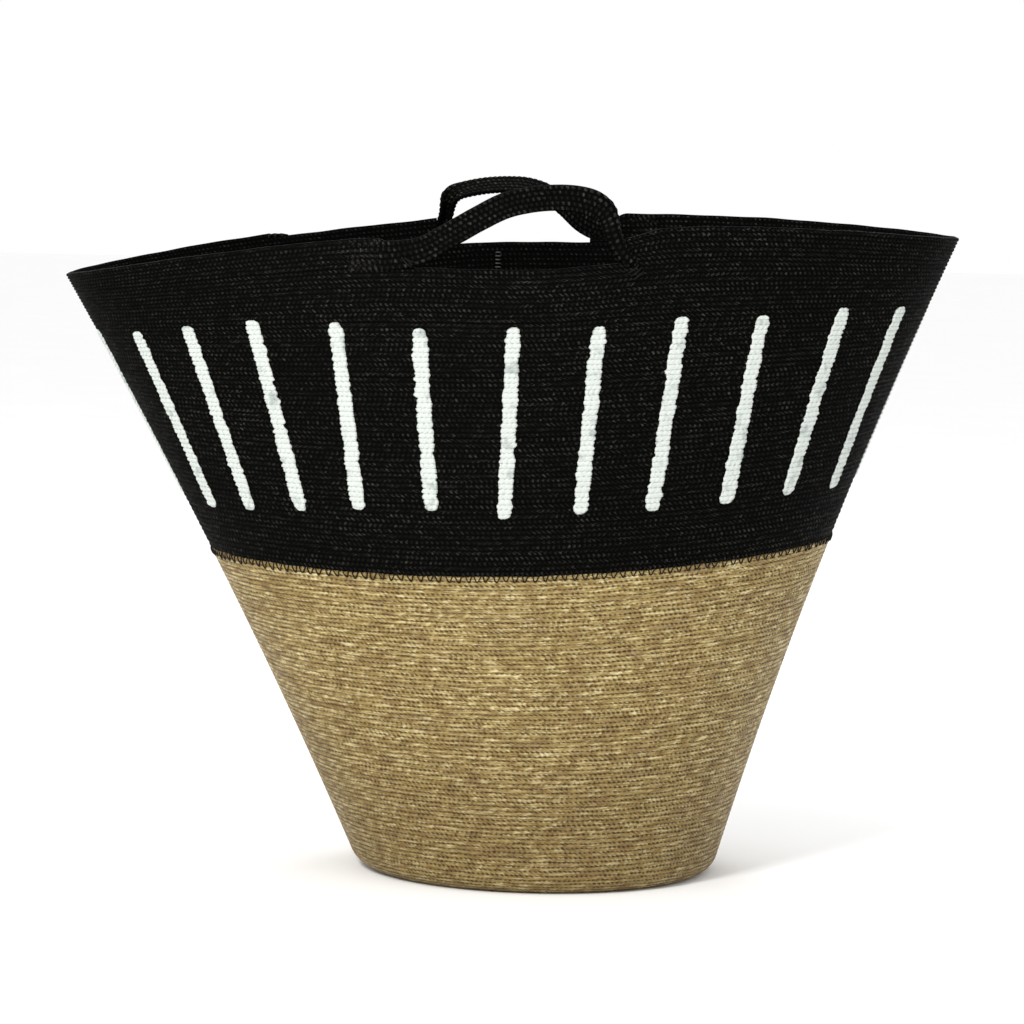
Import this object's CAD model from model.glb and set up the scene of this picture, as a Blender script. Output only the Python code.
import math

import bmesh
import bpy
import numpy as np
from mathutils import Matrix, Vector


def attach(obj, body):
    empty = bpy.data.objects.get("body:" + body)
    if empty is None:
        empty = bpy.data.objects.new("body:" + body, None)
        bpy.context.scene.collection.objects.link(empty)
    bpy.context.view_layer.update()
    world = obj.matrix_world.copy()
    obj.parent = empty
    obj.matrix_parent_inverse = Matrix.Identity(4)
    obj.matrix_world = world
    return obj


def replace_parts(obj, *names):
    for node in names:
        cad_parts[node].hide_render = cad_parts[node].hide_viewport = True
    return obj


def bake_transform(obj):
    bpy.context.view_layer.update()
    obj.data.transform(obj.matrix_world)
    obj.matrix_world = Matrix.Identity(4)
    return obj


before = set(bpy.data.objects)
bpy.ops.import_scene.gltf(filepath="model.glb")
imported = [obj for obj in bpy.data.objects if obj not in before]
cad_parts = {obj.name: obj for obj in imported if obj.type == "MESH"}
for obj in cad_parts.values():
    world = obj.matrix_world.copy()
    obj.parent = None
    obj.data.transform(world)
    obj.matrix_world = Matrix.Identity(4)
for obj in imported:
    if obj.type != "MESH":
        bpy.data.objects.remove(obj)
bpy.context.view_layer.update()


# ---- Base -------------------------------------------------------------------------------
# A flat spiral of natural straw braid, worked outwards from a small tight knot and sewn row
# to row. The same braid goes on without a break round the bottom corner and up the wall.
foot_radius = 0.121           # where the wall would meet the floor if the corner were sharp
disc_radius = 0.109           # where the flat underside starts to turn up
knot_radius = 0.009
mouth_half_width = 0.317
mouth_half_depth = 0.134
height = 0.442
side_hollow = 0.034
front_belly = 0.016
lean = 0.08
row_tilt = 0.05
row_pitch = 0.015
side_rise = 0.107
side_drop = 0.131
half_mouth = 0.300
tail_turn = -0.388            # where the braid ends, as a share of the way round from the front

# Where the rim leaves the wall at the two hand gaps.
front_left_gap, front_right_gap = -0.090, 0.046
back_left_gap, back_right_gap = -0.0735, 0.033

# Rows are counted from the rim of the knot. The first braid is straw, the last six are the rim.
disc_rows = 32
corner_rows = 38
straw_rows = 104
wall_rows = 165
all_rows = 171
row_marks = [corner_rows, straw_rows, wall_rows, all_rows, all_rows + 2]
seam_level = 0.214            # where the straw braid ends and the black braid starts
rim_level = 0.4215            # the foot of the rim's rows
level_marks = [0.0112, seam_level, rim_level, height, 0.4488]


def half_width(z):
    t = z / height
    return foot_radius + (mouth_half_width - foot_radius) * t - side_hollow * t * (1 - t)


def half_depth(z):
    t = z / height
    return foot_radius + (mouth_half_depth - foot_radius) * t + front_belly * t * (1 - t)


def row_height(level, x, y):
    """Height at x, y of the row that lies at this level on the centre line."""
    slope = row_tilt * np.minimum(1, level / seam_level)
    t = level / height
    bend = (side_rise * t - side_drop * t * t) / half_mouth ** 2
    return level + slope * x + row_pitch * y + bend * x * x


def even_angles():
    """For a few levels, the angle round the oval at even steps of distance along its edge."""
    angles = np.linspace(-math.pi, math.pi, 1441)
    levels = np.linspace(0, 0.48, 13)
    shares = []
    for z in levels:
        speed = np.hypot(half_width(z) * np.cos(angles), half_depth(z) * np.sin(angles))
        run = np.concatenate([[0], np.cumsum((speed[1:] + speed[:-1]) / 2)])
        shares.append(run / run[-1] - 0.5)
    return angles, levels, shares


oval_angles, oval_levels, oval_shares = even_angles()


def angle_round(turn, level):
    """Angle from the middle of the front, at a share of the way round the oval."""
    turn = (turn + 0.5) % 1 - 0.5
    spot = np.clip(level / oval_levels[1], 0, len(oval_levels) - 1.001)
    low = spot.astype(int)
    found = np.array([np.interp(turn, share, oval_angles) for share in oval_shares])
    here = np.arange(len(turn))
    return found[low, here] + (found[low + 1, here] - found[low, here]) * (spot - low)


def skin(turn, rows):
    """Point of the outer face, a share of the way round and this many rows from the knot."""
    level = np.interp(rows, row_marks, level_marks)
    angle = angle_round(turn, level)
    sine, cosine = np.sin(angle), np.cos(angle)
    z = level
    for _ in range(7):
        x = half_width(z) * sine - lean * z
        y = -half_depth(z) * cosine
        z = row_height(level, x, y)
    wall = np.stack([x, y, z - drop_near_handles(x, y, level)], 1)
    pitch = (disc_radius - knot_radius) / disc_rows
    radius = np.maximum(knot_radius + pitch * np.minimum(rows, disc_rows),
                        0.0001 * (rows + 5))
    flat = np.stack([radius * sine, -radius * cosine, 0 * z], 1)
    corner = np.stack([foot_radius * sine, -foot_radius * cosine, 0 * z], 1)
    t = np.clip((rows - disc_rows) / (corner_rows - disc_rows), 0, 1)[:, None]
    shares = (1 - t) ** 2, 2 * 0.72 * t * (1 - t), t ** 2
    return (shares[0] * flat + shares[1] * corner + shares[2] * wall) / sum(shares)


def drop_near_handles(x, y, level):
    """How far a row hangs below its even line: the front wall sags between the handle roots,
    the back wall is drawn up a little, and the rim's rows dip where they turn into a root."""
    sag = 0.0075 * np.exp(-((x + 0.012) / 0.075) ** 2)
    lift = 0.0025 * np.exp(-((x + 0.04) / 0.05) ** 2)
    sag = sag * np.clip(-y / 0.06, 0, 1) - lift * np.clip(y / 0.06, 0, 1)
    sag = sag * np.clip((level - 0.25) / 0.17, 0, 1) ** 2
    dip = 0
    for edge, way, at_front, share in ((front_left_gap, -1, True, 0.75),
                                       (front_right_gap, 1, True, 0.22),
                                       (back_right_gap, 1, False, 0.75)):
        near = np.clip(1 - np.maximum((x - edge) * way, 0) / 0.026, 0, 1)
        near = near * near * (3 - 2 * near) * np.clip((x - edge) * way / 0.004 + 1.5, 0, 1)
        dip = dip + share * near * ((y < 0) == at_front)
    return sag + dip * np.maximum(level - rim_level, 0)


def facing(turn, rows):
    """Unit normal of the outer face."""
    small = 0.0004
    across = skin(turn + small, rows) - skin(turn - small, rows)
    up = skin(turn, rows + 0.3) - skin(turn, rows - 0.3)
    normal = np.cross(across, up)
    normal[rows <= disc_rows] = (0, 0, -1)
    return normal / np.linalg.norm(normal, axis=1)[:, None]


# One ring of wall is one mesh: rows from first to last, with so many knuckles of plait round it.
# Half a knuckle over makes each row sit staggered on the one below.
rings = {
    "base_knot": (-3, 0, 12.5),
    "base_coil": (0, 32, 110.5),
    "lower_wall_1": (32, 52, 240.5),
    "lower_wall_2": (52, 71, 262.5),
    "lower_wall_3": (71, 88, 286.5),
    "lower_wall_4": (88, 104, 306.5),
    "upper_wall_1": (104, 118, 328.5),
    "upper_wall_2": (118, 131, 348.5),
    "upper_wall_3": (131, 143, 370.5),
    "upper_wall_4": (143, 154, 392.5),
    "upper_wall_5": (154, 165, 414.5),
    "rim": (165, 171, 430.5),
}
ring_starts = np.array([first for first, last, count in rings.values()])
ring_counts = np.array([count for first, last, count in rings.values()])
knuckle_strength = np.random.default_rng(11).uniform(0, 1, 8192)
straw = dict(gap=0.0009, knuckle=0.0003, slant=0.7, pits=0.8, least=0.35)
black = dict(gap=0.0010, knuckle=0.0009, slant=0.25, pits=0.2, least=0.8)


def wander(travel):
    """Slow unevenness of the maker's hand, from -1 to 1, along the whole braid."""
    return (np.sin(travel * 29.1) + np.sin(travel * 47.7 + 1) + np.sin(travel * 83.3 + 2)) / 3


def relief(knuckle, part, plait):
    """How far the plait drops below its crests, and its tone from 0 in a gap to 1 on a crest.
    Part is the way across one row, and knuckle counts the crossings along the braid."""
    body = np.sin(math.pi * np.clip(part, 0, 1)) ** 0.7
    lift = 0.5 + 0.5 * np.cos(2 * math.pi * (knuckle + plait["slant"] * (part - 0.5)))
    strength = plait["least"] + 0.9 * (1 - plait["least"]) * knuckle_strength[
        np.floor(knuckle).astype(int) % 8192]
    pit = 1 - plait["pits"] + plait["pits"] * (1 - lift) * strength
    loss = plait["gap"] * (1 - body) * pit + plait["knuckle"] * body * (1 - lift) * strength
    return loss, np.clip(1 - loss / (plait["gap"] * 0.7 + plait["knuckle"] * 0.6), 0, 1)


def braid_faces(share, line, plait):
    """Outer and inner points of the braid wall, its tone and its pattern coordinates."""
    turn = tail_turn + 1 - share
    rows = line + share - 0.5
    row = np.floor(line + 1e-6)
    count = ring_counts[np.clip(np.searchsorted(ring_starts, row, "right") - 1, 0, None)]
    along = share * count + 0.6 * wander(0.37 * (line + share))
    loss, tone = relief(along + row * count, line - row, plait)
    uneven = 0.1 * wander(3.3 * (np.round(line) + share)) * np.abs(np.cos(math.pi * line))
    out = facing(turn, rows)
    outer = skin(turn, rows + uneven)
    thick = np.interp(rows, [disc_rows, corner_rows], [0.005, 0.004])[:, None]
    return outer, out, loss[:, None], thick, tone, along


def link(name, mesh):
    made = bpy.data.objects.new(name, mesh)
    bpy.context.scene.collection.objects.link(made)
    return made


def grid(name, columns, lines):
    """A flat grid mesh, with the column and the line that each of its vertices stands on."""
    bm = bmesh.new()
    bmesh.ops.create_grid(bm, x_segments=columns, y_segments=lines, size=0.5)
    mesh = bpy.data.meshes.new(name)
    bm.to_mesh(mesh)
    bm.free()
    flat = np.empty(len(mesh.vertices) * 3, np.float32)
    mesh.vertices.foreach_get("co", flat)
    flat = flat.reshape(-1, 3)
    column = np.rint((flat[:, 0] + 0.5) * columns).astype(int)
    line = np.rint((flat[:, 1] + 0.5) * lines).astype(int)
    return mesh, column, line


def close_grid(mesh, points, place, tone, border=None):
    """Moves a grid's vertices to their points, lays the plait pattern on it and closes it.
    Edges between two border vertices stay sharp."""
    mesh.vertices.foreach_set("co", points.astype(np.float32).ravel())
    corner = np.empty(len(mesh.loops), np.int32)
    mesh.loops.foreach_get("vertex_index", corner)
    layer = mesh.uv_layers.new(name="plait")
    layer.data.foreach_set("uv", place.astype(np.float32)[corner].ravel())
    mesh.attributes.new("crest", "FLOAT", "POINT").data.foreach_set(
        "value", tone.astype(np.float32))
    if border is not None:
        ends = np.empty(len(mesh.edges) * 2, np.int32)
        mesh.edges.foreach_get("vertices", ends)
        sharp = border[ends[::2]] & border[ends[1::2]]
        mesh.attributes.new("sharp_edge", "BOOLEAN", "EDGE").data.foreach_set("value", sharp)
    bm = bmesh.new()
    bm.from_mesh(mesh)
    bmesh.ops.remove_doubles(bm, verts=bm.verts, dist=2e-6)
    open_edges = [edge for edge in bm.edges if edge.is_boundary]
    if open_edges:
        bmesh.ops.holes_fill(bm, edges=open_edges, sides=0)
    if bm.calc_volume(signed=True) < 0:
        bmesh.ops.reverse_faces(bm, faces=bm.faces)
    bm.to_mesh(mesh)
    bm.free()
    mesh.polygons.foreach_set("use_smooth", [True] * len(mesh.polygons))


def finish_piece(made, material, nodes):
    """Gives a piece its finish and says which solids of the frame it stands for."""
    made.data.materials.clear()
    made.data.materials.append(material)
    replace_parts(made, *nodes)
    return made


def sew_ring(name, plait, ring, start=0.0, end=1.0):
    """A ring of braid wall, closed all round: up the outside, over the edge, down the inside."""
    first, last, count = rings[ring]
    columns = int(round(count * 3 * (end - start)))
    outside, inside = (last - first) * 4, (last - first) * 2
    lines = outside + inside + 2
    mesh, column, line = grid(name, columns, lines)
    share = start + (end - start) * column / columns
    reach = np.where(line <= outside, first + line / 4,
                     last - np.clip(line - outside - 1, 0, inside) / 2)
    reach = np.where(line == lines, first, reach)
    is_inner = (line > outside) & (line < lines)
    outer, out, loss, thick, tone, along = braid_faces(share, reach, plait)
    points = np.where(is_inner[:, None], outer - out * (thick - loss), outer - out * loss)
    border = (line == 0) | (line == outside) | (line == outside + 1) | (line >= lines - 1)
    close_grid(mesh, points, np.stack([along, reach + 1e-4], 1), tone, border)
    return link(name, mesh)


class Wiring:
    """Adds nodes to a node tree and joins them up."""

    def __init__(self, tree):
        self.tree = tree

    def add(self, kind, settings=None, **inputs):
        node = self.tree.nodes.new("ShaderNode" + kind)
        for key, value in (settings or {}).items():
            setattr(node, key, value)
        for key, value in inputs.items():
            self.feed(node, key.replace("_", " "), value)
        return node

    def feed(self, node, key, value):
        socket = node.inputs[int(key[1:])] if key[0] == "#" else node.inputs[key]
        if isinstance(value, bpy.types.NodeSocket):
            self.tree.links.new(value, socket)
        else:
            socket.default_value = value

    def maths(self, operation, first, second=0.0, third=0.0):
        node = self.add("Math", {"operation": operation})
        for index, value in enumerate((first, second, third)):
            self.feed(node, "#%d" % index, value)
        return node.outputs[0]

    def mix(self, share, first, second, blend="MIX"):
        node = self.add("Mix", {"data_type": "RGBA", "blend_type": blend})
        for key, value in (("#0", share), ("#6", first), ("#7", second)):
            self.feed(node, key, value)
        return node.outputs[2]

    def ramp(self, value, *stops):
        node = self.add("ValToRGB")
        elements = node.color_ramp.elements
        while len(elements) < len(stops):
            elements.new(0.5)
        for element, (position, colour) in zip(elements, stops):
            element.position = position
            element.color = (*colour, 1)
        self.tree.links.new(value, node.inputs[0])
        return node.outputs[0]

    def spread(self, value, low, high, to_low=0.0, to_high=1.0):
        node = self.add("MapRange", {"interpolation_type": "SMOOTHSTEP"})
        for index, number in enumerate((value, low, high, to_low, to_high)):
            self.feed(node, "#%d" % index, number)
        return node.outputs[0]


def effect(name, inputs, outputs):
    """An empty shader node group with its sockets, ready for its nodes."""
    group = bpy.data.node_groups.new(name, "ShaderNodeTree")
    for label, kind, value in inputs:
        socket = group.interface.new_socket(label, in_out="INPUT", socket_type=kind)
        if value is not None:
            socket.default_value = value
    for label, kind in outputs:
        group.interface.new_socket(label, in_out="OUTPUT", socket_type=kind)
    return (group, Wiring(group), group.nodes.new("NodeGroupInput"),
            group.nodes.new("NodeGroupOutput"))


def fibre_effect():
    """Split straw fibres along each row of plait, and a chance value for each knuckle.
    Place is the plait pattern: knuckles along, rows up."""
    group, wire, given, out = effect(
        "plait_fibres",
        [("Place", "NodeSocketVector", None), ("Streak Length", "NodeSocketFloat", 0.3),
         ("Fibres Per Row", "NodeSocketFloat", 3.0), ("Slant", "NodeSocketFloat", 0.3)],
        [("Streak", "NodeSocketFloat"), ("Knuckle", "NodeSocketFloat"),
         ("Grain", "NodeSocketFloat")])
    place = wire.add("SeparateXYZ", Vector=given.outputs["Place"])
    along, up = place.outputs[0], place.outputs[1]
    row = wire.maths("FLOOR", up)
    part = wire.maths("SUBTRACT", up, row)
    step = wire.maths("MULTIPLY_ADD", row, 0.5, along)
    leaning = wire.maths("MULTIPLY_ADD", part, given.outputs["Slant"], step)
    number = wire.add("CombineXYZ", X=wire.maths("FLOOR", leaning), Y=row)
    chance = wire.add("TexWhiteNoise", {"noise_dimensions": "2D"}, Vector=number.outputs[0])
    long_way = wire.maths("MULTIPLY", leaning, given.outputs["Streak Length"])
    across = wire.maths("MULTIPLY", part, given.outputs["Fibres Per Row"])
    lane = wire.add("CombineXYZ", X=long_way, Y=across, Z=wire.maths("MULTIPLY", row, 7.3))
    streak = wire.add("TexNoise", Vector=lane.outputs[0], Scale=1.0, Detail=2.0, Roughness=0.6)
    fine_way = wire.maths("MULTIPLY", leaning, 1.9)
    fine_across = wire.maths("MULTIPLY", across, 3.1)
    fine = wire.add("CombineXYZ", X=fine_way, Y=fine_across,
                    Z=wire.maths("MULTIPLY", row, 3.7))
    grain = wire.add("TexNoise", Vector=fine.outputs[0], Scale=1.0, Detail=3.0, Roughness=0.7)
    wire.feed(out, "Streak", streak.outputs["Fac"])
    wire.feed(out, "Knuckle", chance.outputs["Value"])
    wire.feed(out, "Grain", grain.outputs["Fac"])
    return group


def hollow_effect():
    """Shade that gathers in the gaps of a plait, ragged where single fibres cross them."""
    group, wire, given, out = effect(
        "plait_hollows",
        [("Crest", "NodeSocketFloat", 1.0), ("Grain", "NodeSocketFloat", 0.5),
         ("Depth", "NodeSocketFloat", 0.45), ("Softness", "NodeSocketFloat", 0.35)],
        [("Open", "NodeSocketFloat")])
    ragged = wire.maths("MULTIPLY_ADD", given.outputs["Grain"], 0.5, given.outputs["Crest"])
    level = wire.maths("SUBTRACT", ragged, 0.25)
    high = wire.maths("ADD", given.outputs["Depth"], given.outputs["Softness"])
    wire.feed(out, "Open", wire.spread(level, given.outputs["Depth"], high))
    return group


def use_effect():
    """Slow changes of tone over the whole basket from light, handling and uneven straw."""
    group, wire, given, out = effect(
        "years_of_use",
        [("Place", "NodeSocketVector", None), ("Patch Size", "NodeSocketFloat", 0.05),
         ("Foot Height", "NodeSocketFloat", 0.05)],
        [("Patches", "NodeSocketFloat"), ("Foot", "NodeSocketFloat")])
    patch_scale = wire.maths("DIVIDE", 1.0, given.outputs["Patch Size"])
    patches = wire.add("TexNoise", Vector=given.outputs["Place"], Scale=patch_scale,
                       Detail=2.0, Roughness=0.5)
    place = wire.add("SeparateXYZ", Vector=given.outputs["Place"])
    foot = wire.spread(place.outputs[2], 0.0, given.outputs["Foot Height"], 1.0, 0.0)
    wire.feed(out, "Patches", patches.outputs["Fac"])
    wire.feed(out, "Foot", foot)
    return group


plait_fibres = fibre_effect()
plait_hollows = hollow_effect()
years_of_use = use_effect()


def new_finish(name):
    """A material with only a shader, the plait pattern, the crest values and the object place."""
    finish = bpy.data.materials.new(name)
    finish.use_nodes = True
    wire = Wiring(finish.node_tree)
    shader = finish.node_tree.nodes["Principled BSDF"]
    pattern = wire.add("UVMap", {"uv_map": "plait"}).outputs[0]
    crest = wire.add("Attribute", {"attribute_name": "crest"}).outputs["Fac"]
    place = wire.add("TexCoord").outputs["Object"]
    return finish, wire, shader, pattern, crest, place


def place_effect(wire, group, **inputs):
    node = wire.add("Group", {"node_tree": group})
    for key, value in inputs.items():
        wire.feed(node, key.replace("_", " "), value)
    return node


# Straw: split grass dried to a pale gold, with glossy light faces and browner ones between.
straw_dark = (0.095, 0.055, 0.014)
straw_brown = (0.185, 0.115, 0.04)
straw_gold = (0.265, 0.187, 0.062)
straw_pale = (0.385, 0.295, 0.118)
straw_light = (0.62, 0.535, 0.30)


def straw_finish():
    finish, wire, shader, pattern, crest, place = new_finish("natural_straw")
    fibres = place_effect(wire, plait_fibres, Place=pattern, Streak_Length=0.36,
                          Fibres_Per_Row=2.6, Slant=0.7)
    use = place_effect(wire, years_of_use, Place=place, Patch_Size=0.045, Foot_Height=0.16)
    streak, knuckle, grain = (fibres.outputs[i] for i in range(3))
    hollow = place_effect(wire, plait_hollows, Crest=crest, Grain=grain, Depth=0.42,
                          Softness=0.5)
    chance = wire.maths("MULTIPLY_ADD", knuckle, 0.16, -0.08)
    tone = wire.maths("ADD", streak, chance)
    colour = wire.ramp(tone, (0.30, straw_brown), (0.43, straw_gold), (0.57, straw_pale),
                       (0.71, straw_light))
    # browner straw comes in short runs of two or three rows
    squeezed = wire.add("Mapping", Vector=pattern, Scale=(0.16, 0.42, 1))
    runs = wire.add("TexNoise", Vector=squeezed.outputs[0], Scale=1.0, Detail=1.0)
    brown = wire.spread(runs.outputs["Fac"], 0.53, 0.68, 0.0, 0.6)
    colour = wire.mix(brown, colour, (*straw_brown, 1))
    patches = wire.spread(use.outputs["Patches"], 0.35, 0.7, 0.0, 0.22)
    colour = wire.mix(patches, colour, (*straw_brown, 1))
    colour = wire.mix(wire.maths("MULTIPLY", use.outputs["Foot"], 0.35), colour,
                      (*straw_dark, 1))
    shade = wire.ramp(hollow.outputs["Open"], (0.0, (0.17, 0.13, 0.075)), (1.0, (1, 1, 1)))
    colour = wire.mix(1.0, colour, shade, "MULTIPLY")
    wire.feed(shader, "Base Color", colour)
    wire.feed(shader, "Roughness", wire.spread(tone, 0.35, 0.7, 0.62, 0.4))
    height_map = wire.maths("MULTIPLY_ADD", grain, 0.6, streak)
    bump = wire.add("Bump", Strength=0.55, Distance=0.0004, Height=height_map)
    wire.feed(shader, "Normal", bump.outputs[0])
    shader.inputs["Specular IOR Level"].default_value = 0.22
    return finish


natural_straw = straw_finish()
for node in ("base_knot", "base_coil"):
    ring = sew_ring(node + "_braid", straw, node)
    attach(finish_piece(ring, natural_straw, [node]), "basket")


# ---- Lower wall -------------------------------------------------------------------------
# The straw braid turned up round the corner and coiled up the wall, each row stitched to the
# one below. It is the soft belly of the basket, up to the change of colour.
for number in (1, 2, 3, 4):
    ring = sew_ring("lower_wall_braid_%d" % number, straw, "lower_wall_%d" % number)
    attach(finish_piece(ring, natural_straw, ["lower_wall"]), "basket")


# ---- Upper wall -------------------------------------------------------------------------
# The same plait in straw dyed black, sewn on where the pale braid stops. It widens all the way
# to the foot of the rim.
black_gap = (0.0004, 0.0004, 0.0003)
black_straw = (0.0065, 0.0062, 0.0050)
black_worn = (0.058, 0.056, 0.048)


def dyed_finish():
    finish, wire, shader, pattern, crest, place = new_finish("black_straw")
    fibres = place_effect(wire, plait_fibres, Place=pattern, Streak_Length=0.8,
                          Fibres_Per_Row=2.2, Slant=0.5)
    use = place_effect(wire, years_of_use, Place=place, Patch_Size=0.07, Foot_Height=0.01)
    streak, knuckle, grain = (fibres.outputs[i] for i in range(3))
    hollow = place_effect(wire, plait_hollows, Crest=crest, Grain=grain, Depth=0.5,
                          Softness=0.5)
    worn = wire.maths("MULTIPLY", wire.maths("POWER", knuckle, 2.0),
                      wire.spread(streak, 0.3, 0.6))
    worn = wire.maths("MULTIPLY", worn, wire.spread(use.outputs["Patches"], 0.3, 0.65, 0.5, 1.0))
    colour = wire.mix(worn, (*black_straw, 1), (*black_worn, 1))
    colour = wire.mix(hollow.outputs["Open"], (*black_gap, 1), colour)
    wire.feed(shader, "Base Color", colour)
    wire.feed(shader, "Roughness", wire.spread(streak, 0.3, 0.7, 0.72, 0.5))
    height_map = wire.maths("MULTIPLY_ADD", grain, 0.6, streak)
    bump = wire.add("Bump", Strength=0.6, Distance=0.0004, Height=height_map)
    wire.feed(shader, "Normal", bump.outputs[0])
    shader.inputs["Specular IOR Level"].default_value = 0.03
    return finish


dyed_straw = dyed_finish()
for number in (1, 2, 3, 4, 5):
    ring = sew_ring("upper_wall_braid_%d" % number, black, "upper_wall_%d" % number)
    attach(finish_piece(ring, dyed_straw, ["upper_wall"]), "basket")


# ---- Seam thread ------------------------------------------------------------------------
# Black sewing thread in open loops along the change of colour. It is sewn by hand and hangs
# from the first black row over the top of the straw.
loop_count = 168
loop_drop = 1.05              # rows
thread_radius = 0.00042
loop_turns = np.random.default_rng(23).uniform(-1, 1, (loop_count, 4))


def thread_finish():
    finish, wire, shader, pattern, crest, place = new_finish("black_thread")
    fuzz = wire.add("TexNoise", Vector=place, Scale=900.0, Detail=3.0)
    ply = wire.add("TexWave", {"bands_direction": "DIAGONAL"}, Vector=place, Scale=420.0,
                   Distortion=1.5)
    twist = wire.maths("MULTIPLY_ADD", ply.outputs["Fac"], 0.6, fuzz.outputs["Fac"])
    colour = wire.ramp(twist, (0.3, (0.0008, 0.0008, 0.0008)), (1.1, (0.009, 0.0086, 0.0078)))
    wire.feed(shader, "Base Color", colour)
    wire.feed(shader, "Roughness", wire.spread(fuzz.outputs["Fac"], 0.3, 0.7, 0.8, 0.55))
    bump = wire.add("Bump", Strength=0.5, Distance=0.0002, Height=twist)
    wire.feed(shader, "Normal", bump.outputs[0])
    shader.inputs["Specular IOR Level"].default_value = 0.1
    return finish


def sew_thread(name, runs, radius, material):
    """Lengths of round thread, each through its own points, made one mesh."""
    line = bpy.data.curves.new(name, "CURVE")
    line.dimensions = "3D"
    line.bevel_depth = radius
    line.bevel_resolution = 1
    line.resolution_u = 2
    line.use_fill_caps = True
    for points in runs:
        spline = line.splines.new("NURBS")
        spline.points.add(len(points) - 1)
        for knot, point in zip(spline.points, points):
            knot.co = (*[float(value) for value in point], 1)
        spline.order_u = 3
        spline.use_endpoint_u = True
    guide = bpy.data.objects.new(name + "_line", line)
    bpy.context.scene.collection.objects.link(guide)
    bpy.context.view_layer.update()
    evaluated = guide.evaluated_get(bpy.context.evaluated_depsgraph_get())
    mesh = bpy.data.meshes.new_from_object(evaluated)
    mesh.name = name
    bpy.data.objects.remove(guide)
    bpy.data.curves.remove(line)
    bm = bmesh.new()
    bm.from_mesh(mesh)
    bmesh.ops.remove_doubles(bm, verts=bm.verts, dist=1e-6)
    bmesh.ops.recalc_face_normals(bm, faces=bm.faces)
    bm.to_mesh(mesh)
    bm.free()
    mesh.polygons.foreach_set("use_smooth", [True] * len(mesh.polygons))
    if not mesh.uv_layers:
        mesh.uv_layers.new(name="plait")
    mesh.materials.clear()
    mesh.materials.append(material)
    return link(name, mesh)


def on_wall(turn, rows, lift):
    """Points this far outside the wall, at shares of the way round and row numbers."""
    turn, rows = np.asarray(turn, float), np.asarray(rows, float)
    return skin(turn, rows) + facing(turn, rows) * np.asarray(lift, float)[:, None]


black_thread = thread_finish()
loop_shape = np.array([(-0.36, 0.3, -0.9), (-0.30, 0.0, 0.3), (-0.22, -0.45, 0.6),
                       (-0.12, -0.95, 0.6), (-0.02, -1.12, 0.6), (0.1, -0.95, 0.6),
                       (0.2, -0.45, 0.6), (0.30, 0.0, 0.3), (0.38, 0.3, -0.9)])
loops = []
for index, (slip, drop, left, right) in enumerate(loop_turns):
    across = loop_shape[:, 0] * (1 + 0.12 * left) + 0.1 * right * loop_shape[:, 1]
    turn = -0.5 + (index + 0.5 + 0.12 * slip + across) / loop_count
    fall = np.where(loop_shape[:, 1] < 0, loop_shape[:, 1] * loop_drop * (1 + 0.15 * drop),
                    loop_shape[:, 1])
    loops.append(on_wall(turn, straw_rows + 0.15 + fall, loop_shape[:, 2] * 0.001))
seam = sew_thread("seam_loops", loops, thread_radius, black_thread)
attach(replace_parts(seam, "seam_thread"), "basket")


# ---- Rim --------------------------------------------------------------------------------
# The last six rows of black braid. They run in two parts, left and right, and leave the wall
# at the hand gaps, where they are pulled up into the handles.
def share_at(x, side):
    """Share of the braid's turn at which the rim crosses this x, front (-1) or back (1)."""
    turns = np.linspace(-0.25, 0.25, 401) + (0.5 if side > 0 else 0)
    places = skin(turns, np.full(401, float(wall_rows)))[:, 0]
    order = np.argsort(places)
    turn = np.interp(x, places[order], turns[order])
    return (tail_turn + 1 - turn) % 1


rim_parts = (
    ("rim_braid_back_left", "rim_band_left", 0.0, share_at(back_left_gap, 1)),
    ("rim_braid_right", "rim_band_right", share_at(back_right_gap, 1),
     share_at(front_right_gap, -1)),
    ("rim_braid_left", "rim_band_left", share_at(front_left_gap, -1), 1.0))
for name, node, start, end in rim_parts:
    band = sew_ring(name, black, "rim", start, end)
    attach(finish_piece(band, dyed_straw, [node]), "basket")


# ---- Rim tail ---------------------------------------------------------------------------
# The cut end of the braid. It tapers off the last row on to the one below and is sewn flat.
tail_length = 0.016
rim_round = 1.476             # distance round the rim
tail_columns, tail_sides = 16, 12
mesh, column, line = grid("rim_tail_braid", tail_columns, tail_sides)
going = column / tail_columns
around = 2 * math.pi * line / tail_sides
tail_share = (going * tail_length - 0.002) / rim_round
level_row = all_rows - 0.5 + tail_share + 0.42 * (1 - going)
middle = np.stack([tail_turn - tail_share, level_row], 1)
base = skin(middle[:, 0], middle[:, 1])
out = facing(middle[:, 0], middle[:, 1])
swell = np.sqrt(np.clip(1 - going ** 3, 0, 1)) * (1 + 0.12 * np.cos(6 * math.pi * going))
points = (base - out * 0.002 + out * (np.cos(around) * 0.0019 * swell)[:, None]
          + np.array((0, 0, 1)) * (np.sin(around) * 0.0017 * swell)[:, None])
close_grid(mesh, points, np.stack([going * 5, line / tail_sides + 1e-4], 1),
           0.6 + 0.4 * np.cos(6 * math.pi * going))
tail = link("rim_tail_braid", mesh)
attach(finish_piece(tail, dyed_straw, ["rim_tail"]), "basket")


# ---- Handles ----------------------------------------------------------------------------
# Each is five rows of the rim, about 17 mm wide, left unsewn from the wall over the hand gap.
# One end rises gently and lies flat; the other is folded lengthwise and drops steeply. Both
# ends are tacked to the outside of the wall.
handle_rows = 5
handle_thickness = 0.0040

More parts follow.
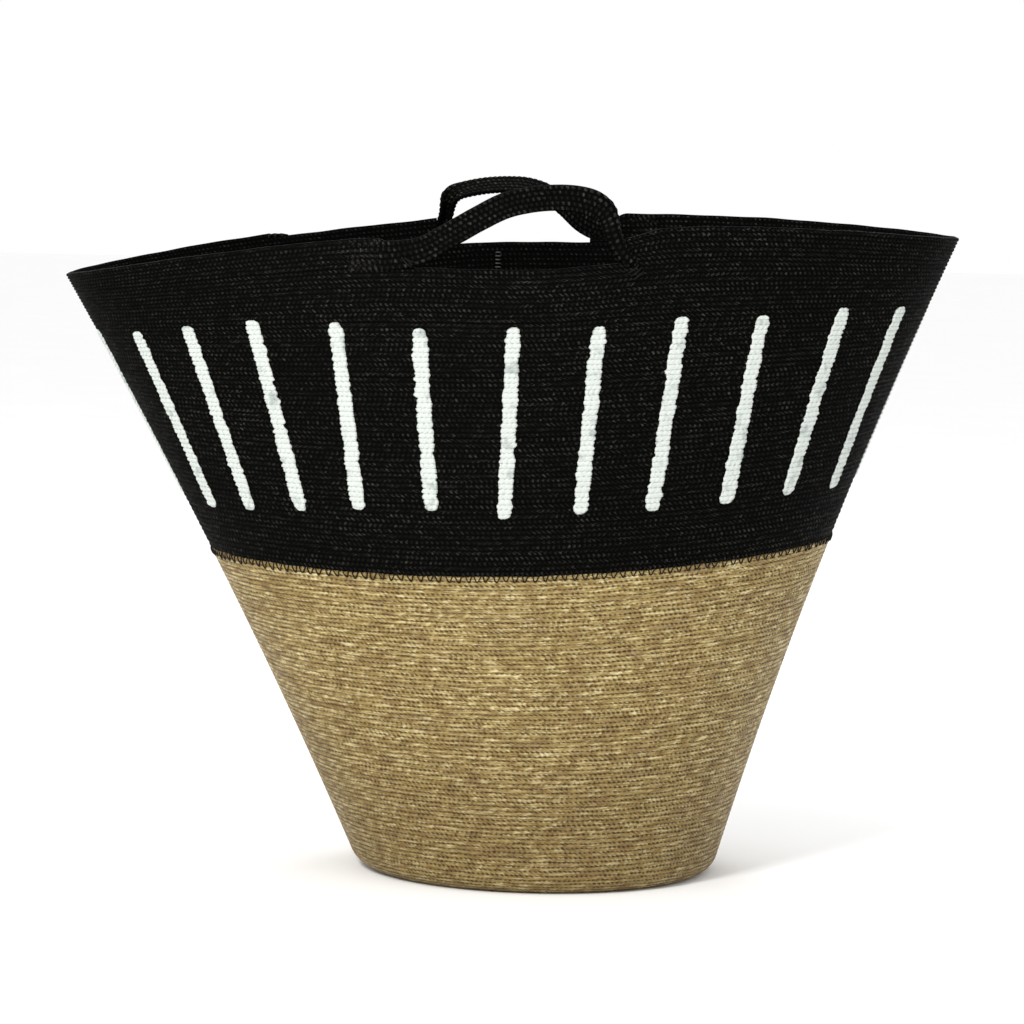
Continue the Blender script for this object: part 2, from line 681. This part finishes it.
# Along the middle of the band, in millimetres: x, z, width, fold across (radians),
# lean of the upper edge outwards (degrees), and how far the band stands off the wall's face.
front_band = ((-134, 417.3, 20, 0.0, 0, -2.2), (-116, 418.4, 20, 0.0, 0, -1.7),
              (-100, 419.6, 19.2, 0.0, 0, -0.3), (-85, 423.4, 17.2, 0.1, 0, 1.1),
              (-71, 431.4, 16.5, 0.2, 0, 1.7), (-60.5, 437.6, 16.6, 0.2, 0, 1.3),
              (-50, 443.8, 16.6, 0.2, 0, 0.2), (-33.5, 452.4, 17, 0.1, 0, -1.6),
              (-18, 456.6, 17, 0.0, 0, -2), (-2.5, 458.5, 17, 0.0, 0, -2),
              (12, 458.3, 17.3, 0.1, 0, -2), (24, 455.8, 17.6, 0.5, 0, -2),
              (31.5, 451.4, 17, 1.7, 0, -1.2), (35.8, 444.5, 17, 3.3, 0, 1.4),
              (38, 436.5, 17, 4.4, 0, 3.6), (41, 428.8, 17, 4.7, 0, 4.0),
              (45.5, 422.5, 16, 4.2, 0, 2.6), (50.5, 417.8, 13, 3.2, 0, 0),
              (54.5, 414.6, 8, 2.4, 0, -2.6))
back_band = ((-84, 413, 8, 2.4, 0, -2.6), (-80.5, 418, 13, 3.2, 0, 0),
             (-76, 425, 16, 4.2, 0, 3.0), (-71.8, 433, 17, 4.7, 0, 4.0),
             (-69.3, 441, 17, 4.6, 0, 2.6), (-67.6, 448, 17, 4.0, 10, 0.8),
             (-64.5, 453.6, 17, 2.4, 35, -1), (-58.5, 457.8, 17, 0.9, 50, -2),
             (-44.5, 461.6, 17, 0.2, 52, -2), (-31.5, 463.1, 17, 0.1, 52, -2),
             (-16, 463.2, 17, 0.1, 52, -2), (-5, 460.8, 17, 0.1, 48, -2),
             (4, 456.6, 17, 0.1, 44, -2), (16, 448.2, 17, 0.1, 34, -1.6),
             (27, 439.2, 17, 0.1, 18, -0.2), (37, 434.2, 17.2, 0.1, 4, 1.2),
             (49, 431.9, 18.6, 0.0, 0, 0.4), (64, 432.8, 20, 0.0, 0, -1.6),
             (82, 434.4, 20, 0.0, 0, -2.2))


def smooth_path(stations, shares):
    """Values along a smooth curve through the stations, evenly spaced by distance."""
    known = np.array(stations, float)
    known = np.vstack([2 * known[0] - known[1], known, 2 * known[-1] - known[-2]])
    fine = np.linspace(0, len(stations) - 1 - 1e-9, 600)
    first = fine.astype(int)
    t = (fine - first)[:, None]
    a, b, c, d = (known[first + k] for k in range(4))
    curve = 0.5 * (2 * b + (c - a) * t + (2 * a - 5 * b + 4 * c - d) * t ** 2
                   + (3 * b - a - 3 * c + d) * t ** 3)
    steps = np.hypot(np.diff(curve[:, 0]), np.diff(curve[:, 1]))
    run = np.concatenate([[0], np.cumsum(steps)])
    even = shares * run[-1]
    return np.stack([np.interp(even, run, curve[:, k]) for k in range(6)], 1)


def weave_handle(name, stations, side):
    """A closed band of plait: its outside from lower to upper edge, and back down inside."""
    knuckles, face_lines = 60, handle_rows * 4
    columns = knuckles * 3
    mesh, column, line = grid(name, columns, face_lines * 2)
    share = column / columns
    path = smooth_path(stations, share)
    ahead = smooth_path(stations, np.clip(share + 0.008, 0, 1))
    behind = smooth_path(stations, np.clip(share - 0.008, 0, 1))
    x, z, width, fold, lean_out, stand = (path[:, k] for k in range(6))
    x, z, width, stand = x / 1000, z / 1000, width / 1000, stand / 1000
    run = ahead[:, :2] - behind[:, :2]
    run /= np.linalg.norm(run, axis=1)[:, None]
    is_outer = line <= face_lines
    over = np.where(is_outer, line, 2 * face_lines - line) / face_lines
    row_line = over * handle_rows
    row = np.minimum(np.floor(row_line + 1e-6), handle_rows - 1)
    part = row_line - row
    along = share * knuckles + row * 0.5 + 0.4 * wander(0.3 * share + row)
    loss, tone = relief(along + row * 977, part, black)
    at_edge = (line == 0) | (line == face_lines) | (line == 2 * face_lines)
    loss = np.where(at_edge, handle_thickness / 2, loss)
    fold = np.maximum(fold, 1e-3)
    bent = fold * (over - 0.5)
    radius = width / fold
    across = radius * np.sin(bent)
    inwards = -radius * (1 - np.cos(bent))
    skew = np.radians(lean_out)
    half = (handle_thickness / 2 - loss) * np.where(is_outer, 1, -1)
    across, inwards = across + half * np.sin(bent), inwards + half * np.cos(bent)
    upwards = across * np.cos(skew) - inwards * np.sin(skew)
    outwards = across * np.sin(skew) + inwards * np.cos(skew)
    span = np.clip((x + lean * z) / half_width(z), -1, 1)
    deep = side * half_depth(z) * np.sqrt(1 - span ** 2)
    normal = np.stack([(x + lean * z) / half_width(z) ** 2, deep / half_depth(z) ** 2], 1)
    normal /= np.linalg.norm(normal, axis=1)[:, None]
    off = stand + outwards
    points = np.stack([x - run[:, 1] * upwards + normal[:, 0] * off,
                       deep + normal[:, 1] * off,
                       z + run[:, 0] * upwards], 1)
    close_grid(mesh, points, np.stack([along, row_line + 1e-4], 1), tone)
    return link(name, mesh)


for name, stations, side in (("front_handle", front_band, -1), ("back_handle", back_band, 1)):
    band = weave_handle(name + "_braid", stations, side)
    finish_piece(band, dyed_straw, [name])
    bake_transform(band)


# ---- Tacks and darn ---------------------------------------------------------------------
# Short hand stitches of doubled thread pull the handle ends on to the wall, and a line of them
# up the inside of the back wall closes a joint in the braid.
def wall_share(x, z, side):
    """Share of the way round and row number of the wall's outer face at this x and z."""
    span = np.clip((x + lean * z) / half_width(z), -1, 1)
    angle = np.arcsin(span) if side < 0 else math.pi - np.arcsin(span)
    low = int(z / oval_levels[1])
    share = [np.interp((angle + math.pi) % (2 * math.pi) - math.pi, oval_angles, oval_shares[k])
             for k in (low, low + 1)]
    turn = share[0] + (share[1] - share[0]) * (z / oval_levels[1] - low)
    rows = np.linspace(corner_rows, all_rows, 400)
    heights = skin(np.full(400, turn), rows)[:, 2]
    return float(turn), float(np.interp(z, heights, rows))


def tack(x, z, side, slope, lift, count=3, length=0.009, spread=0.0026):
    """Points of a few stitches side by side across the foot of a handle."""
    runs = []
    for index in range(count):
        rise = (index - (count - 1) / 2) * spread
        stitch = []
        for step, height_off in ((-0.5, -0.4), (-0.42, 0.6), (-0.2, 1), (0.2, 1), (0.42, 0.6),
                                 (0.5, -0.4)):
            dx = step * length * math.cos(slope) - rise * math.sin(slope)
            dz = step * length * math.sin(slope) + rise * math.cos(slope)
            turn, rows = wall_share(x + dx, z + dz, side)
            stitch.append(on_wall([turn], [rows], [height_off * lift])[0])
        runs.append(stitch)
    return runs


tack_radius = 0.0005
for name, x, z, side, slope, lift in (
        ("front_left_tack", -0.0925, 0.4165, -1, -0.9, 0.0034),
        ("front_right_tack", 0.053, 0.4115, -1, 0.7, 0.0036),
        ("back_left_tack", -0.080, 0.4165, 1, -0.7, 0.0036),
        ("back_right_tack", 0.0415, 0.420, 1, 0.9, 0.0034)):
    stitches = sew_thread(name + "_thread", tack(x, z, side, slope, lift), tack_radius,
                          black_thread)
    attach(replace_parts(stitches, name), "basket")

darn_runs = []
for index in range(6):
    stitch = []
    for step, depth in ((-0.5, 0.0034), (-0.3, 0.0044), (0.3, 0.0044), (0.5, 0.0034)):
        turn, rows = wall_share(-0.032 + step * 0.0034, 0.4025 + index * 0.0026, 1)
        stitch.append(on_wall([turn], [rows], [-depth])[0])
    darn_runs.append(stitch)


def darn_finish():
    finish, wire, shader, pattern, crest, place = new_finish("grey_thread")
    fuzz = wire.add("TexNoise", Vector=place, Scale=1100.0, Detail=3.0)
    colour = wire.ramp(fuzz.outputs["Fac"], (0.3, (0.03, 0.03, 0.027)),
                       (0.75, (0.10, 0.097, 0.088)))
    wire.feed(shader, "Base Color", colour)
    shader.inputs["Roughness"].default_value = 0.7
    bump = wire.add("Bump", Strength=0.5, Distance=0.0002, Height=fuzz.outputs["Fac"])
    wire.feed(shader, "Normal", bump.outputs[0])
    return finish


darn = sew_thread("back_darn_thread", darn_runs, tack_radius, darn_finish())
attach(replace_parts(darn, "back_darn"), "basket")


# ---- Stripes ----------------------------------------------------------------------------
# Twenty-four upright strokes of white paint, brushed by hand over the black plait. The paint
# sits on the knuckles, is thin in the gaps and has a ragged edge.
stripe_count = 24
stripe_bottom, stripe_top = 0.253, 0.3815
stripe_half = 0.0044
stripe_shift = (-0.005, 0.0035)
# Strokes brushed off the even spacing, in millimetres: bottom and top moved round the wall,
# then bottom and top moved up.
stripe_strays = {5: (6, 6, 0, 0), 6: (12, 12, 0, 0), 7: (17, 12, -5, 0),
                 8: (7, 1.5, -2.5, 4.5), 9: (0.5, -5, 0.5, 6.5), 10: (-5.5, -3.5, 4, 3.5),
                 11: (-4, -4.5, 4.5, -1.5), 12: (-4, 1.5, 0, 0), 13: (-1.5, 0.5, 1.5, -2.5),
                 14: (-1, -1.5, 0, 0), 15: (2.5, -3, 0, -1.5), 16: (1.5, -1, 0, 1.5),
                 17: (-2, -6, -2, 0.5)}
paint_lift = 0.00038
paint_columns = 10
brush = np.random.default_rng(37)


def paint_finish():
    finish, wire, shader, pattern, crest, place = new_finish("white_paint")
    fibres = place_effect(wire, plait_fibres, Place=pattern, Streak_Length=1.0,
                          Fibres_Per_Row=2.0, Slant=0.5)
    streak, knuckle, grain = (fibres.outputs[i] for i in range(3))
    hollow = place_effect(wire, plait_hollows, Crest=crest, Grain=grain, Depth=0.0,
                          Softness=0.5)
    use = place_effect(wire, years_of_use, Place=place, Patch_Size=0.011, Foot_Height=0.01)
    thin = wire.spread(use.outputs["Patches"], 0.56, 0.72, 0.0, 0.55)
    colour = wire.mix(thin, (0.56, 0.60, 0.565, 1), (0.20, 0.24, 0.235, 1))
    bare = wire.maths("SUBTRACT", 1.0, hollow.outputs["Open"])
    colour = wire.mix(bare, colour, (0.06, 0.065, 0.062, 1))
    wire.feed(shader, "Base Color", colour)
    wire.feed(shader, "Roughness", wire.spread(grain, 0.3, 0.7, 0.5, 0.68))
    bump = wire.add("Bump", Strength=0.5, Distance=0.0004,
                    Height=wire.maths("ADD", streak, grain))
    wire.feed(shader, "Normal", bump.outputs[0])
    return finish


def around_at(level):
    """Distance round the outside at a level."""
    wide, deep = half_width(level), half_depth(level)
    curve = ((wide - deep) / (wide + deep)) ** 2
    return math.pi * (wide + deep) * (1 + 3 * curve / (10 + np.sqrt(4 - 3 * curve)))


def ragged(count, smoothing):
    """Chance values that change slowly from one to the next."""
    values = brush.normal(size=count + smoothing)
    return np.convolve(values, np.ones(smoothing) / smoothing, "valid")[:count] * smoothing ** 0.5


white_paint = paint_finish()
for index in range(stripe_count):
    turn = index / stripe_count - 0.5
    stray = np.array(stripe_strays.get(index, (0, 0, 0, 0))) / 1000
    share = (tail_turn + 1 - turn) % 1
    foot, head = (np.interp(level, level_marks, row_marks) - share + 0.5
                  for level in (stripe_bottom + stray[2], stripe_top + stray[3]))
    foot = round(foot * 4) / 4
    lines = int(round((head - foot) * 4))
    node = "stripe_%02d" % (index + 1)
    mesh, column, line = grid(node + "_paint", paint_columns, lines)
    rise = line / lines
    row_line = foot + line / 4
    level = np.interp(row_line + share - 0.5, row_marks, level_marks)
    low, high = stripe_shift[0] + stray[0], stripe_shift[1] + stray[1]
    slip = low + (high - low) * rise
    left, right = (ragged(lines + 1, 3) * 0.0004 + ragged(lines + 1, 11) * 0.00025
                   for edge in (0, 1))
    bulge = 0.0005 * np.sin(math.pi * (row_line % 1))
    ends = np.sqrt(np.clip(1 - (np.abs(rise - 0.5) * 2) ** 26, 0, 1))
    over = column / paint_columns * 2 - 1
    half = stripe_half + bulge + np.where(over < 0, left[line], right[line])
    reach = half * (0.35 + 0.65 * ends)
    stroke_turn = turn + (slip + over * reach) / around_at(level)
    stroke_share = tail_turn + 1 - stroke_turn
    stroke_share = np.where(stroke_share > 1, stroke_share - 1, stroke_share)
    outer, out, loss, thick, tone, along = braid_faces(stroke_share, row_line, black)
    edge = np.clip((1 - np.abs(over)) / 0.2, 0, 1) * np.clip((1 - np.abs(rise * 2 - 1))
                                                             * lines / 3, 0, 1)
    lift = paint_lift * 1.4 * edge - paint_lift * 0.4
    points = outer - out * (loss * 0.9 - lift[:, None])
    mesh.vertices.foreach_set("co", points.astype(np.float32).ravel())
    corner = np.empty(len(mesh.loops), np.int32)
    mesh.loops.foreach_get("vertex_index", corner)
    place = np.stack([along, row_line + 1e-4], 1).astype(np.float32)
    mesh.uv_layers.new(name="plait").data.foreach_set("uv", place[corner].ravel())
    mesh.attributes.new("crest", "FLOAT", "POINT").data.foreach_set(
        "value", tone.astype(np.float32))
    bm = bmesh.new()
    bm.from_mesh(mesh)
    bmesh.ops.reverse_faces(bm, faces=bm.faces)
    bmesh.ops.solidify(bm, geom=bm.faces, thickness=0.0005)
    bm.to_mesh(mesh)
    bm.free()
    mesh.polygons.foreach_set("use_smooth", [True] * len(mesh.polygons))
    stroke = link(node + "_paint", mesh)
    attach(finish_piece(stroke, white_paint, [node]), "basket")


# ---- Floor, light and camera ------------------------------------------------------------
# A plain pale floor under broad, soft studio lamps, and the camera in front of the basket.
floor_mesh = bpy.data.meshes.new("floor")
bm = bmesh.new()
bmesh.ops.create_grid(bm, x_segments=1, y_segments=1, size=14)
bm.to_mesh(floor_mesh)
bm.free()
floor = link("floor", floor_mesh)
floor_paint, wire, shader, pattern, crest, place = new_finish("floor_paint")
mottle = wire.add("TexNoise", Vector=place, Scale=6.0, Detail=4.0)
wire.feed(shader, "Base Color", wire.ramp(mottle.outputs["Fac"], (0.3, (0.955, 0.955, 0.955)),
                                          (0.7, (0.97, 0.97, 0.97))))
shader.inputs["Roughness"].default_value = 0.9
floor_mesh.materials.append(floor_paint)

backdrop_light = bpy.data.worlds.new("studio")
bpy.context.scene.world = backdrop_light
backdrop_light.use_nodes = True
backdrop_light.node_tree.nodes["Background"].inputs["Color"].default_value = (1, 1, 1, 1)
backdrop_light.node_tree.nodes["Background"].inputs["Strength"].default_value = 1.0


def lamp(name, place, target, size, power, colour=(1, 1, 1)):
    light = bpy.data.lights.new(name, "AREA")
    light.shape = "DISK"
    light.size = size
    light.energy = power
    light.color = colour
    made = bpy.data.objects.new(name, light)
    bpy.context.scene.collection.objects.link(made)
    made.location = place
    made.rotation_euler = (Vector(target) - Vector(place)).to_track_quat("-Z", "Y").to_euler()


lamp("key_lamp", (-1.2, -2.4, 2.2), (0, 0, 0.25), 0.8, 66, (1, 0.985, 0.96))
lamp("fill_lamp", (2.2, -2.2, 1.2), (0, 0, 0.2), 1.6, 3)
lamp("top_lamp", (0.2, 1.2, 2.4), (0, 0, 0.3), 1.4, 12, (0.96, 0.98, 1))

eye, aim = Vector((-0.0875, -3.0, 0.4997)), Vector((-0.0209, 0, 0.24265))
roll = 0.022
camera_data = bpy.data.cameras.new("camera")
camera_data.lens = 155.5
camera_data.sensor_width = 36
camera_data.clip_end = 60
camera = bpy.data.objects.new("camera", camera_data)
bpy.context.scene.collection.objects.link(camera)
ahead = (aim - eye).normalized()
across = ahead.cross(Vector((0, 0, 1))).normalized()
upright = across.cross(ahead)
camera_x = across * math.cos(roll) + upright * math.sin(roll)
camera_y = upright * math.cos(roll) - across * math.sin(roll)
camera.matrix_world = Matrix.Translation(eye) @ Matrix(
    (camera_x, camera_y, -ahead)).transposed().to_4x4()
bpy.context.scene.camera = camera
bpy.context.scene.view_settings.view_transform = "Standard"
